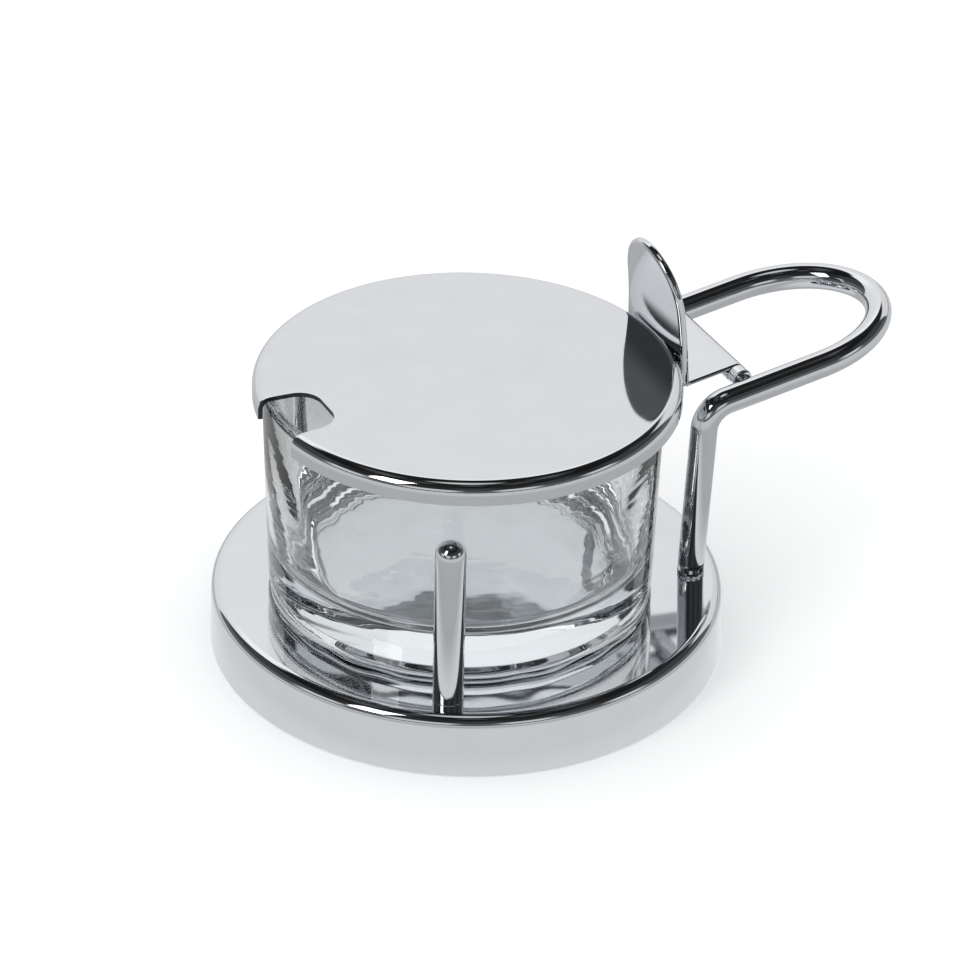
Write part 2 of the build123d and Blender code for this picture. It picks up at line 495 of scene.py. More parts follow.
def turned_grid(profile: np.ndarray, centre: Triple, axis: Axis = Axis.Z) -> np.ndarray:
    """Turn a profile about an axis.

    Each point of the profile is a radius and a height. At the angle a it lies at the radius times
    cosine a and the radius times sine a, at its height along the axis.

    Args:
        profile: Radius and height of each point, in millimetres.
        centre: The point on the axis from which heights count.
        axis: The axis's direction.

    Returns:
        The grid, one row for each point of the profile.
    """
    across = profile[:, :1] * np.cos(COLUMN_ANGLES)
    around = profile[:, :1] * np.sin(COLUMN_ANGLES)
    along = np.broadcast_to(profile[:, 1:], across.shape)
    order = (across, around, along) if axis is Axis.Z else (around, along, across)
    return np.stack(order, axis=-1) + np.array(centre)


def finish_piece(
    piece: Piece, material: bpy.types.Material, body: Body, nodes: Sequence[str]
) -> None:
    """Dress a piece, put it on its body and let it stand for its nodes.

    Args:
        piece: The piece.
        material: Its material.
        body: The body that it moves with.
        nodes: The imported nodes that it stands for.
    """
    piece.data.materials.append(material)
    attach(piece, body.value)
    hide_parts(*nodes)
    LOG.info("%s: %d faces", piece.name, len(piece.data.polygons))


def even_shading(piece: Piece) -> None:
    """Let large faces keep their direction, so that flats beside a bend mirror flat."""
    even = piece.modifiers.new("even_shading", "WEIGHTED_NORMAL")
    even.keep_sharp = False


def thicken(piece: Piece, thickness: float, edge: float) -> None:
    """Give a sheet its thickness away from its faces and break its edges.

    The cut edges take the piece's second material.

    Args:
        piece: The sheet, as one layer of faces.
        thickness: The sheet's thickness, in millimetres.
        edge: The width of the broken edge, in millimetres.
    """
    wall = piece.modifiers.new("sheet", "SOLIDIFY")
    wall.thickness = thickness * MM
    wall.offset = -1
    wall.use_even_offset = True
    wall.material_offset_rim = 1
    broken = piece.modifiers.new("broken_edge", "BEVEL")
    broken.width = edge * MM
    broken.segments = 3
    broken.limit_method = "ANGLE"
    broken.angle_limit = math.radians(50)
    even_shading(piece)


@dataclass
class Stand:
    """The pressed base, the pad below it and the plate and screws inside it."""

    radius: float = 54.98
    draft: float = 0.4
    height: float = 14.4
    wall: float = 1.2
    edge_radius: float = 2.5
    foot_gap: float = 0.3
    foot_edge_radius: float = 0.45
    pad_radius: float = 51.48
    pad_thickness: float = 1.6
    pad_edge_radius: float = 0.5
    hidden_nodes: tuple[str, ...] = ("base_plate", "post_screws", "stem_screws", "screw_washers")

    def build(self, finishes: Finishes, nodes: dict[str, Piece]) -> None:
        """Build and dress the stand.

        Args:
            finishes: The materials.
            nodes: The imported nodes, some of which stay as they are.
        """
        foot = self.radius + self.draft
        shell = rounded_line(
            [
                (0, self.height, 0),
                (self.radius, self.height, self.edge_radius),
                (foot, self.foot_gap, self.foot_edge_radius),
                (foot - self.wall, self.foot_gap, self.foot_edge_radius),
                (self.radius - self.wall, self.height - self.wall, self.edge_radius - self.wall),
                (0, self.height - self.wall, 0),
            ],
            support=0.12,
        )
        piece = grid_piece("base_cover", turned_grid(shell[::-1], (0, 0, 0)))
        finish_piece(piece, finishes.polished, Body.BASE, ["base_shell"])
        pad = rounded_line(
            [
                (0, 0, 0),
                (self.pad_radius, 0, self.pad_edge_radius),
                (self.pad_radius, self.pad_thickness, self.pad_edge_radius / 2),
                (0, self.pad_thickness, 0),
            ]
        )
        piece = grid_piece("grip_pad", turned_grid(pad, (0, 0, 0)))
        finish_piece(piece, finishes.rubber, Body.BASE, ["base_pad"])
        for name in self.hidden_nodes:
            nodes[name].data.materials.clear()
            nodes[name].data.materials.append(finishes.plain)
            LOG.info("%s keeps its packed shape", name)


@dataclass
class Jar:
    """The pressed glass jar: thick floor, wall that thins towards a fire-polished rim."""

    centre_x: float = -1.6
    foot_z: float = 14.42
    foot_radius: float = 41.2
    mouth_radius: float = 42.4
    height: float = 49.08
    floor: float = 9.5
    mouth_wall: float = 2.6
    floor_wall: float = 3.6
    heel_radius: float = 3.0
    corner_radius: float = 5.0
    rim_radius: float = 1.1
    punt_radius: float = 33.0
    punt_depth: float = 0.8
    punt_slope: float = 1.6
    punt_edge_radius: float = 0.8
    wave_depth: float = 0.16
    wave_turns: tuple[int, ...] = (7, 11, 17)
    wave_heights: tuple[float, ...] = (9.0, -6.0, 4.0)
    wave_starts: tuple[float, ...] = (0.0, 1.3, 0.4)
    wave_lift: float = 0.5
    plain_rim: float = 3.0
    plain_middle: float = 12.0
    rim_fade: float = 12.0
    middle_fade: float = 20.0

    def profile(self) -> np.ndarray:
        """Give the jar's wall as one line from the axis below to the axis above the floor."""
        inside = self.foot_radius - self.floor_wall
        mouth_inside = self.mouth_radius - self.mouth_wall
        line = rounded_line(
            [
                (0, self.punt_depth, 0),
                (self.punt_radius, self.punt_depth, self.punt_edge_radius),
                (self.punt_radius + self.punt_slope, 0, self.punt_edge_radius),
                (self.foot_radius, 0, self.heel_radius),
                (self.mouth_radius, self.height, self.rim_radius),
                (mouth_inside, self.height, self.rim_radius),
                (inside, self.floor, self.corner_radius),
                (0, self.floor, 0),
            ],
            support=0.15,
        )
        return divided(line, step=2.0)

    def mould_waves(self, profile: np.ndarray) -> np.ndarray:
        """Give the waves that the plunger leaves in the jar's inside.

        At the angle a and the height z the wall moves across by the wave depth times the mean of
        three sines, each of its turns times a, plus z over its height, plus its start. The waves
        fade towards the rim and towards the middle of the floor.

        Args:
            profile: The jar's profile, whose points inside the jar follow the rim.

        Returns:
            How far each point of the grid moves, in millimetres.
        """
        angle = COLUMN_ANGLES
        radius, height = profile[:, :1], profile[:, 1:]
        sines = zip(self.wave_turns, self.wave_heights, self.wave_starts)
        waves = [np.sin(turns * angle + height / rise + start) for turns, rise, start in sines]
        inside = np.arange(len(profile))[:, None] > profile[:, 1].argmax()
        fade = inside * np.clip((self.height - self.plain_rim - height) / self.rim_fade, 0, 1)
        fade = fade * np.clip((radius - self.plain_middle) / self.middle_fade, 0, 1)
        across = self.wave_depth * fade * np.mean(waves, axis=0)
        return np.stack(
            [across * np.cos(angle), across * np.sin(angle), across * self.wave_lift], axis=-1
        )

    def build(self, finishes: Finishes) -> None:
        """Build and dress the jar."""
        profile = self.profile()
        grid = turned_grid(profile, (self.centre_x, 0, self.foot_z))
        grid += self.mould_waves(profile)
        piece = grid_piece("clear_jar", grid)
        finish_piece(piece, finishes.glass, Body.JAR, ["glass_jar"])


@dataclass
class Posts:
    """The two short rods with domed tops that keep the jar in place."""

    radius: float = 3.25
    length: float = 38.0
    foot_z: float = 14.4
    circle: float = 46.379
    angle: float = 119.5
    centre_x: float = -1.6
    foot_edge_radius: float = 0.2

    def build(self, finishes: Finishes) -> None:
        """Build and dress both posts."""
        dome = np.linspace(0, np.pi / 2, 2 * ARC_STEPS + 1)
        straight = self.length - self.radius
        line = rounded_line(
            [(0, 0, 0), (self.radius, 0, self.foot_edge_radius), (self.radius, straight, 0)]
        )
        cap = np.stack([self.radius * np.cos(dome), straight + self.radius * np.sin(dome)], axis=1)
        profile = divided(np.concatenate([line[:-1], cap]), step=3.0)
        for name, node, side in (
            ("domed_post_front", "front_post", -1),
            ("domed_post_rear", "rear_post", 1),
        ):
            turn = math.radians(side * self.angle)
            foot = (
                self.centre_x + self.circle * math.cos(turn),
                self.circle * math.sin(turn),
                self.foot_z,
            )
            piece = grid_piece(name, turned_grid(profile, foot))
            finish_piece(piece, finishes.polished, Body.BASE, [node])


@dataclass
class Handle:
    """The bent rod: two stems, two knees, two straight runs and the round end of the loop."""

    rod_radius: float = 2.9
    half_width: float = 18.3
    base_z: float = 14.4
    foot_x: float = 45.0
    knee_x: float = 46.7
    knee_z: float = 54.0
    knee_radius: float = 6.0
    rise_angle: float = 8.1
    loop_start_x: float = 74.6
    loop_reach: float = 22.9
    end_steps: int = 96
    sides: int = 72
    foot_tolerance: float = 1e-6

    def build(self, finishes: Finishes) -> None:
        """Build and dress the handle.

        A ring of points is carried along the rod's centre line. At each place the ring lies in
        the plane across the line, which the upward and the sideways direction there span.
        """
        rise = math.radians(self.rise_angle)
        ahead = np.array([math.cos(rise), 0.0, math.sin(rise)])
        above = np.array([-math.sin(rise), 0.0, math.cos(rise)])
        side = np.array([0.0, 1.0, 0.0])
        loop_start_z = self.knee_z + (self.loop_start_x - self.knee_x) * math.tan(rise)
        lean = np.array([self.knee_x - self.foot_x, self.knee_z - self.base_z])
        below = self.rod_radius / lean[1]
        stem = rounded_line(
            [
                (self.foot_x - lean[0] * below, self.base_z - lean[1] * below, 0),
                (self.knee_x, self.knee_z, self.knee_radius),
                (self.loop_start_x, loop_start_z, 0),
            ],
            support=1.0,
        )
        stem = divided(stem, step=2.5)
        near = np.stack([stem[:, 0], np.full(len(stem), -self.half_width), stem[:, 1]], axis=1)
        turn = np.linspace(-np.pi / 2, np.pi / 2, self.end_steps + 1)[1:-1, None]
        middle = np.array([self.loop_start_x, 0.0, loop_start_z])
        out, across = self.loop_reach * np.cos(turn), self.half_width * np.sin(turn)
        end = middle + out * ahead + across * side
        far = near[::-1] * np.array([1, -1, 1])
        line = np.concatenate([near, end, far])
        along = unit(np.gradient(line, axis=0))
        # On the stems and runs the sideways direction is the Y axis, and on the end the upward one
        # is square to the loop
        inward = unit(
            np.concatenate(
                [
                    np.tile(side, (len(near), 1)),
                    np.cross(above, along[len(near) : len(near) + len(end)]),
                    np.tile(-side, (len(far), 1)),
                ]
            )
        )
        upward = np.cross(along, inward)
        around = np.linspace(0, 2 * np.pi, self.sides, endpoint=False)
        cosine, sine = np.cos(around)[:, None], np.sin(around)[:, None]
        ring = inward[:, None] * cosine + upward[:, None] * sine
        grid = line[:, None] + self.rod_radius * ring
        # Each foot is cut level with the base's top
        for row in (0, -1):
            drop = (self.base_z - grid[row, :, 2]) / along[row, 2]
            grid[row] += drop[:, None] * along[row]
            grid[row, :, 2] = self.base_z
        grid = grid[(grid[:, :, 2] >= self.base_z - self.foot_tolerance).all(axis=1)]
        caps = [np.tile(grid[row].mean(axis=0), (1, self.sides, 1)) for row in (0, -1)]
        grid = np.concatenate([caps[0], grid, caps[1]])
        piece = grid_piece("bent_rod_handle", grid)
        finish_piece(piece, finishes.polished, Body.BASE, ["handle_rod"])


@dataclass
class Hinge:
    """The pin across the rods, its two bushes and the leaf that is rolled round it."""

    pin_x: float = 57.2
    pin_z: float = 56.895
    pin_radius: float = 1.0
    pin_half_length: float = 18.0
    pin_edge_radius: float = 0.3
    bush_radius: float = 2.2
    bush_bore: float = 1.05
    bush_start: float = 12.6
    bush_length: float = 2.7
    bush_edge_radius: float = 0.25
    leaf_length: float = 11.9
    leaf_thickness: float = 1.0
    leaf_half_width: float = 12.5
    roll_radius: float = 1.7
    roll_turn: float = 292.0
    roll_steps: int = 64
    leaf_edge_support: float = 0.2
    rise_angle: float = 8.1

    def build(self, finishes: Finishes) -> None:
        """Build and dress the hinge."""
        centre = (self.pin_x, 0, self.pin_z)
        pin = rounded_line(
            [
                (0, -self.pin_half_length, 0),
                (self.pin_radius, -self.pin_half_length, self.pin_edge_radius),
                (self.pin_radius, self.pin_half_length, self.pin_edge_radius),
                (0, self.pin_half_length, 0),
            ]
        )
        piece = grid_piece("cross_pin", turned_grid(pin, centre, Axis.Y))
        finish_piece(piece, finishes.polished, Body.BASE, ["hinge_pin"])
        self.build_bushes(finishes, centre)
        self.build_leaf(finishes)

    def build_bushes(self, finishes: Finishes, centre: Triple) -> None:
        """Build and dress the two bushes as one piece.

        Args:
            finishes: The materials.
            centre: The pin's middle.
        """
        start, end = self.bush_start, self.bush_start + self.bush_length
        middle = (self.bush_bore, (start + end) / 2, 0)
        ring = rounded_line(
            [
                middle,
                (self.bush_bore, start, self.bush_edge_radius),
                (self.bush_radius, start, self.bush_edge_radius),
                (self.bush_radius, end, self.bush_edge_radius),
                (self.bush_bore, end, self.bush_edge_radius),
                middle,
            ],
            support=0.1,
        )
        both = [
            grid_piece(f"bush_{side}", turned_grid(ring * (1, side), centre, Axis.Y))
            for side in (1, -1)
        ]
        for bush in both:
            recalculate(bush)
        piece = joined("pin_bushes", both)
        finish_piece(piece, finishes.polished, Body.BASE, ["hinge_spacers"])

    def build_leaf(self, finishes: Finishes) -> None:
        """Build and dress the leaf.

        Its middle line runs straight to the pin and then turns round it at the roll's radius. A
        flat section with half-round ends is carried along the line, and each end is closed at the
        section's middle.
        """
        turn = np.radians(90 - np.linspace(0, self.roll_turn, self.roll_steps))
        roll = self.roll_radius * np.stack([np.cos(turn), np.sin(turn)], axis=1)
        line = np.concatenate([[(-self.leaf_length, self.roll_radius)], roll])
        line = divided(line, step=1.0)
        rise = math.radians(self.rise_angle)
        tilt = np.array([[math.cos(rise), math.sin(rise)], [-math.sin(rise), math.cos(rise)]])
        line = line @ tilt + np.array([self.pin_x, self.pin_z])
        along = unit(np.gradient(line, axis=0))
        half = self.leaf_thickness / 2
        bend = np.linspace(np.pi / 2, -np.pi / 2, ARC_STEPS + 1)
        end = self.leaf_half_width - half
        beside = [end - self.leaf_edge_support]
        across = np.concatenate([beside, end + half * np.cos(bend), beside])
        up = np.concatenate([[half], half * np.sin(bend), [-half]])
        across, up = np.concatenate([across, -across]), np.concatenate([up, -up])
        heights = np.concatenate([[up * 0], np.tile(up, (len(line), 1)), [up * 0]])
        rows = np.concatenate([[0], np.arange(len(line)), [len(line) - 1]])
        grid = np.empty((len(rows), len(across), 3))
        grid[..., 0] = line[rows, :1] - heights * along[rows, 1:]
        grid[..., 1] = across
        grid[..., 2] = line[rows, 1:] + heights * along[rows, :1]
        piece = grid_piece("rolled_leaf", grid)
        recalculate(piece)
        even_shading(piece)
        finish_piece(piece, finishes.polished, Body.LID, ["hinge_leaf"])


def recalculate(piece: Piece) -> None:
    """Turn a closed mesh's faces outwards."""
    shell = bmesh.new()
    shell.from_mesh(piece.data)
    bmesh.ops.recalc_face_normals(shell, faces=shell.faces)
    shell.to_mesh(piece.data)
    shell.free()


def joined(name: str, parts: Sequence[Piece]) -> Piece:
    """Put several meshes into one object.

    Args:
        name: The new object's name.
        parts: The objects, which are removed.

    Returns:
        The object that holds them all.
    """
    shell = bmesh.new()
    for part in parts:
        shell.from_mesh(part.data)
        bpy.data.objects.remove(part)
    mesh = bpy.data.meshes.new(name)
    shell.to_mesh(mesh)
    shell.free()
    mesh.shade_smooth()
    return in_scene(name, mesh)


@dataclass
class Lid:
    """The flat lid with its turned-down rim and spoon slot, and the thumb tab on its rim."""

    centre_x: float = -0.7
    radius: float = 45.2
    sheet: float = 1.0
    top_z: float = 64.7
    height: float = 4.8
    edge_radius: float = 2.6
    edge_break: float = 0.16
    slot_depth: float = 12.6
    slot_inner_half_width: float = 7.2
    slot_outer_half_width: float = 8.3
    slot_corner_radius: float = 5.0
    columns: int = 360
    middle_rings: tuple[float, ...] = (0, 8, 16, 22, 27, 30, 31.6)
    bend_support: float = 0.3
    slot_ring_gap: float = 0.4
    skirt_rings: tuple[float, ...] = (3 / 29, 12 / 29, 20 / 29)
    tab_foot_z: float = 56.47
    tab_mid_x: float = 44.98
    tab_lean_angle: float = 3.0
    tab_straight: float = 10.0
    tab_curl_radius: float = 85.0
    tab_thickness: float = 1.8
    tab_edge_radius: float = 0.75
    tab_foot_half_width: float = 12.6
    tab_shoulder_half_width: float = 11.6
    tab_shoulder_z: float = 73.4
    tab_arch: float = 12.5
    tab_arch_steps: int = 60
    tab_rings: int = 24
    tab_edge_ring: float = 0.985

    def build(self, finishes: Finishes) -> None:
        """Build and dress the lid and its tab."""
        self.build_sheet(finishes)
        self.build_tab(finishes)

    def build_sheet(self, finishes: Finishes) -> None:
        """Build and dress the lid's sheet.

        Rows are circles about the lid's centre. From the slot's inner end outwards each row stops
        at the slot's two sides, at the angle whose tangent is the slot's half width there over
        the distance from the centre. The outermost rows turn down over the rim's edge.
        """
        inner = self.radius - self.slot_depth
        outer = self.radius + self.sheet
        outline = rounded_line(
            [
                (inner, 0, 0),
                (inner, self.slot_inner_half_width, self.slot_corner_radius),
                (outer, self.slot_outer_half_width, 0),
            ]
        )
        outline = divided(outline, step=1.0)
        flat_end = self.radius - self.edge_radius
        reach = np.hypot(outline[:, 0], outline[:, 1])
        gap = np.arctan2(outline[:, 1], outline[:, 0])
        inside = reach < flat_end - self.slot_ring_gap
        within = np.array(self.middle_rings)
        bend = np.linspace(0, np.pi / 2, 2 * ARC_STEPS + 1)
        drop = np.array(self.skirt_rings) * (self.height - self.edge_radius)
        rim_reach = np.concatenate(
            [
                [flat_end - self.bend_support],
                flat_end + self.edge_radius * np.sin(bend),
                np.full(len(drop) + 1, self.radius),
            ]
        )
        rim_z = np.concatenate(
            [
                [self.top_z],
                self.top_z - self.edge_radius * (1 - np.cos(bend)),
                self.top_z - self.edge_radius - drop,
                [self.top_z - self.height],
            ]
        )
        slope = (self.slot_outer_half_width - self.slot_inner_half_width) / (outer - inner)
        start = self.slot_inner_half_width - slope * inner
        square = 1 + slope**2
        along = (-slope * start + np.sqrt(rim_reach**2 * square - start**2)) / square
        rim_gap = np.arctan2(start + slope * along, along)
        radii = np.concatenate([within, reach[inside], rim_reach])
        heights = np.concatenate([np.full(len(within) + inside.sum(), self.top_z), rim_z])
        gaps = np.concatenate([np.zeros(len(within)), gap[inside], rim_gap])[:, None]
        share = np.linspace(0, 1, self.columns + 1)
        angle = np.pi + gaps + share * (2 * np.pi - 2 * gaps)
        grid = np.stack(
            [
                self.centre_x + radii[:, None] * np.cos(angle),
                radii[:, None] * np.sin(angle),
                np.broadcast_to(heights[:, None], angle.shape),
            ],
            axis=-1,
        )
        piece = grid_piece("flat_lid", grid[::-1], closed=False)
        thicken(piece, self.sheet, self.edge_break)
        finish_piece(piece, finishes.polished, Body.LID, ["lid"])
        # The rim faces take the cut edge's painted shade
        piece.data.materials.append(finishes.shaded_cut_edge)

    def tab_outline(self) -> np.ndarray:
        """Give the tab's front view as a closed line of sideways place and height.

        It runs up the right side to the shoulder, over half an ellipse and down the left side.
        """
        side = rounded_line(
            [
                (0, self.tab_foot_z, 0),
                (self.tab_foot_half_width, self.tab_foot_z, self.tab_edge_radius),
                (self.tab_shoulder_half_width, self.tab_shoulder_z, 0),
            ]
        )
        turn = np.linspace(0, np.pi / 2, self.tab_arch_steps + 1)[1:]
        arch = np.stack(
            [
                self.tab_shoulder_half_width * np.cos(turn),
                self.tab_shoulder_z + self.tab_arch * np.sin(turn),
            ],
            axis=1,
        )
        right = divided(np.concatenate([side, arch]), step=0.8)
        return np.concatenate([right, right[-2:0:-1] * (-1, 1)])

    def build_tab(self, finishes: Finishes) -> None:
        """Build and dress the thumb tab.

        Rings of points spread from the front's middle to its outline, turn round the rounded edge
        and close on the rear's middle. Its side view is a straight run and then an arc that leans
        further over: the sine of the lean is the first lean's sine plus the height above the
        run's end over the arc's radius.
        """
        outline = self.tab_outline()
        along = unit(np.roll(outline, -1, axis=0) - np.roll(outline, 1, axis=0))
        inward = np.stack([-along[:, 1], along[:, 0]], axis=1)
        middle = np.array([0.0, self.tab_shoulder_z])
        edge = self.tab_edge_radius
        half = self.tab_thickness / 2
        rings = np.linspace(0, 1, self.tab_rings)[:-1]
        spread = np.concatenate([rings, [self.tab_edge_ring]])[:, None, None]
        face = middle + spread * (outline + edge * inward - middle)
        turn = np.linspace(0, np.pi / 2, ARC_STEPS)[:, None, None]
        bend = outline + edge * (1 - np.sin(turn)) * inward
        flat = np.concatenate([face, bend])
        depth = np.concatenate(
            [np.full(len(face), half), half - edge + edge * np.cos(turn[:, 0, 0])]
        )[:, None]
        flat = np.concatenate([flat, flat[::-1]])
        depth = np.concatenate([depth, -depth[::-1]])
        lean = math.radians(self.tab_lean_angle)
        bend_z = self.tab_foot_z + self.tab_straight * math.cos(lean)
        bend_x = self.tab_mid_x - self.tab_straight * math.sin(lean)
        height = flat[..., 1]
        sine = math.sin(lean) + np.maximum(height - bend_z, 0) / self.tab_curl_radius
        cosine = np.sqrt(1 - sine**2)
        straight_x = self.tab_mid_x - (height - self.tab_foot_z) * math.tan(lean)
        curled_x = bend_x + self.tab_curl_radius * (cosine - math.cos(lean))
        across = np.where(height < bend_z, straight_x, curled_x)
        grid = np.stack([across - depth * cosine, flat[..., 0], height - depth * sine], axis=-1)
        piece = grid_piece("thumb_tab_plate", grid)
        recalculate(piece)
        even_shading(piece)
        finish_piece(piece, finishes.polished, Body.LID, ["thumb_tab"])


@dataclass
class Studio:
    """The floor, the surroundings, the lamp and the camera.

    Each level is a brightness at an elevation in degrees or, for the floor's painted reflection in
    the steel, a glow with no shadow in it, at a distance from its middle in millimetres. Sides are
    a sector's two azimuths from +X, in degrees.
    """

    focal_pixels: float = 4191.7
    distance: float = 890.28
    elevation: float = 31.79
    azimuth: float = -27.5
    roll: float = 1.4
    aim_z: float = 40.0
    aim_pixel: Pair = (468.97, 472.11)
    sensor: float = 36.0
    floor_radius: float = 4000.0
    paper_tone: str = "#eeeff0"
    paper_lift: float = 0.2
    mirrored_reach: float = 200.0
    # Brightness of the floor's painted reflection in the steel, by distance from the middle
    painted_reflection_levels: Pairs = (
        (0.0, 0.6), (54.0, 0.86), (58.0, 0.86), (64.0, 0.79),
        (76.0, 0.8), (96.0, 0.52), (145.0, 0.56), (200.0, 0.7),
    )
    painted_reflection_tint: Triple = (0.99, 1.0, 1.01)
    surround_strength: float = 1.2
    below_levels: Pairs = ((-90.0, 0.74), (0.0, 0.74))
    zenith_levels: Pairs = ((80.0, 0.01), (85.0, 0.7))
    edge_softness: float = 3.0
    backdrop_sides: Pair = (47.0, 112.5)
    backdrop_levels: Pairs = ((30.0, 0.81), (38.0, 0.86), (42.0, 1.0), (50.0, 1.0), (53.0, 0.02))
    wing_sides: Pair = (12.0, 50.0)
    wing_levels: Pairs = ((4.0, 0.12), (8.0, 0.7), (34.0, 0.76), (37.0, 0.02))
    card_softness: float = 10.0
    card_sides: Pairs = ((-144.0, -126.0), (-96.0, -85.0), (-49.0, -41.0), (174.0, 186.0))
    card_levels: Pairs = ((3.0, 0.1), (8.0, 0.1), (10.5, 0.62), (23.0, 0.62), (26.0, 0.03))
    room_tint: Triple = (0.94, 0.99, 1.02)
    room_levels: Pairs = (
        (2.0, 0.12), (18.0, 0.12), (22.0, 0.05), (42.0, 0.05),
        (48.0, 0.01), (62.0, 0.01), (70.0, 0.1), (76.0, 0.02),
    )
    lamp_azimuth: float = -160.0
    lamp_elevation: float = 40.0
    lamp_distance: float = 1.4
    lamp_width: float = 0.36
    lamp_height: float = 0.7
    lamp_power: float = 3.0

    def build(self) -> None:
        """Build the studio."""
        self.build_camera()
        self.build_world()
        self.build_floor()
        self.build_lamp()
        scene = bpy.context.scene
        scene.view_settings.view_transform = "Standard"
        # Light passes many times between the lid, the glass and the base
        scene.cycles.max_bounces = 24
        scene.cycles.glossy_bounces = 12
        scene.cycles.transmission_bounces = 16

    def build_camera(self) -> None:
        """Place the camera at the photograph's angle.

        The camera looks from its azimuth and elevation at a point over the origin and is rolled
        about its own axis. It is then moved square to its axis, until that point lies on its
        pixel.
        """
        back = self.direction(self.azimuth - 90, self.elevation)
        right = self.direction(self.azimuth, 0)
        up = back.cross(right)
        roll = math.radians(self.roll)
        rolled_right = math.cos(roll) * right + math.sin(roll) * up
        rolled_up = math.cos(roll) * up - math.sin(roll) * right
        scale = self.distance / self.focal_pixels
        offset = [(pixel - IMAGE_PIXELS / 2) * scale for pixel in self.aim_pixel]
        place = (
            Vector((0, 0, self.aim_z))
            + back * self.distance
            - rolled_right * offset[0]
            + rolled_up * offset[1]
        )
        lens = bpy.data.cameras.new("product_camera")
        lens.sensor_width = self.sensor
        lens.lens = self.sensor * self.focal_pixels / IMAGE_PIXELS
        lens.clip_end = 100
        camera = in_scene("product_camera", lens)
        axes = Matrix((rolled_right, rolled_up, back)).transposed()
        camera.matrix_world = Matrix.Translation(place * MM) @ axes.to_4x4()
        bpy.context.scene.camera = camera

    @staticmethod
    def direction(azimuth: float, elevation: float) -> Vector:
        """Give the direction at an azimuth from +X and an elevation, both in degrees."""
        turn, rise = math.radians(azimuth), math.radians(elevation)
        level = math.cos(rise)
        return Vector((math.cos(turn) * level, math.sin(turn) * level, math.sin(rise)))

    def build_world(self) -> None:
        """Surround the object with a light backdrop and a dark room with light cards.

        The brightness goes by the direction. Behind the object the backdrop is light up to half
        way overhead, with a lower wing on its right. All round elsewhere the room is dark, with
        low light cards, a dim wall between them and a light ceiling panel. The camera and diffuse
        light see plain white instead.
        """
        world = bpy.data.worlds.new("studio")
        bpy.context.scene.world = world
        tree = empty_tree(world)
        way = add_node(tree, "ShaderNodeTexCoord").outputs["Generated"]
        parts = add_node(tree, "ShaderNodeSeparateXYZ", {"Vector": way})
        place = add_node(
            tree,
            "ShaderNodeMath",
            {0: parts.outputs["Z"], 1: 0.5, 2: 0.5},
            operation="MULTIPLY_ADD",
        ).outputs["Value"]
        turn = add_node(
            tree,
            "ShaderNodeMath",
            {0: parts.outputs["Y"], 1: parts.outputs["X"]},
            operation="ARCTAN2",
        ).outputs["Value"]
        around = self.height_ramp(tree, place, self.room_levels, self.room_tint)
        cards = self.height_ramp(tree, place, self.card_levels)
        wing = self.height_ramp(tree, place, self.wing_levels)
        backdrop = self.height_ramp(tree, place, self.backdrop_levels)
        for sides, softness, levels in (
            *((sides, self.card_softness, cards) for sides in self.card_sides),
            (self.wing_sides, self.edge_softness, wing),
            (self.backdrop_sides, self.edge_softness, backdrop),
        ):
            outside = self.outside_sector(tree, turn, sides, softness)
            inputs = {"Factor": outside, 6: levels, 7: around}
            around = add_node(tree, "ShaderNodeMix", inputs, data_type="RGBA").outputs[2]
        _, seen = self.ray_kinds(tree, "Is Glossy Ray")
        surroundings = add_node(
            tree, "ShaderNodeBackground", {"Color": around, "Strength": self.surround_strength}
        )
        plain = add_node(tree, "ShaderNodeBackground", {"Color": (1, 1, 1, 1)})
        mixed = add_node(
            tree, "ShaderNodeMixShader", {0: seen, 1: plain.outputs[0], 2: surroundings.outputs[0]}
        )
        add_node(tree, "ShaderNodeOutputWorld", {"Surface": mixed.outputs["Shader"]})

    @staticmethod
    def outside_sector(
        tree: Tree, turn: Socket, sides: Pair, softness: float
    ) -> Socket:
        """Tell directions outside a sector from those inside it, with a soft change between.

        Args:
            tree: The world's tree.
            turn: The direction's azimuth.
            sides: The sector's two azimuths, in degrees.
            softness: The width of the change, in degrees.

        Returns:
            0 inside the sector and 1 outside it.
        """
        half = math.radians((sides[1] - sides[0]) / 2)
        from_middle = add_node(
            tree,
            "ShaderNodeMath",
            {0: turn, 1: math.radians(sum(sides) / 2)},
            operation="SUBTRACT",
        )
        wrapped = add_node(
            tree,
            "ShaderNodeMath",
            {0: from_middle.outputs["Value"], 1: math.pi, 2: -math.pi},
            operation="WRAP",
        )
        away = add_node(
            tree, "ShaderNodeMath", {0: wrapped.outputs["Value"]}, operation="ABSOLUTE"
        )
        ends = {"From Min": half, "From Max": half + math.radians(softness)}
        return add_node(
            tree,
            "ShaderNodeMapRange",
            {"Value": away.outputs["Value"], **ends},
            interpolation_type="SMOOTHSTEP",
        ).outputs["Result"]

    @staticmethod
    def ray_kinds(tree: Tree, kind: str) -> tuple[bpy.types.Node, Socket]:
        """Give the node that knows a ray's kind, and 1 for rays of a kind and through glass.

        Args:
            tree: The tree.
            kind: The kind's output on that node.

        Returns:
            The node, and 1 for a ray of that kind or one that glass lets through.
        """
        rays = add_node(tree, "ShaderNodeLightPath")
        either = add_node(
            tree,
            "ShaderNodeMath",
            {0: rays.outputs[kind], 1: rays.outputs["Is Transmission Ray"]},
            operation="MAXIMUM",
        )
        return rays, either.outputs["Value"]

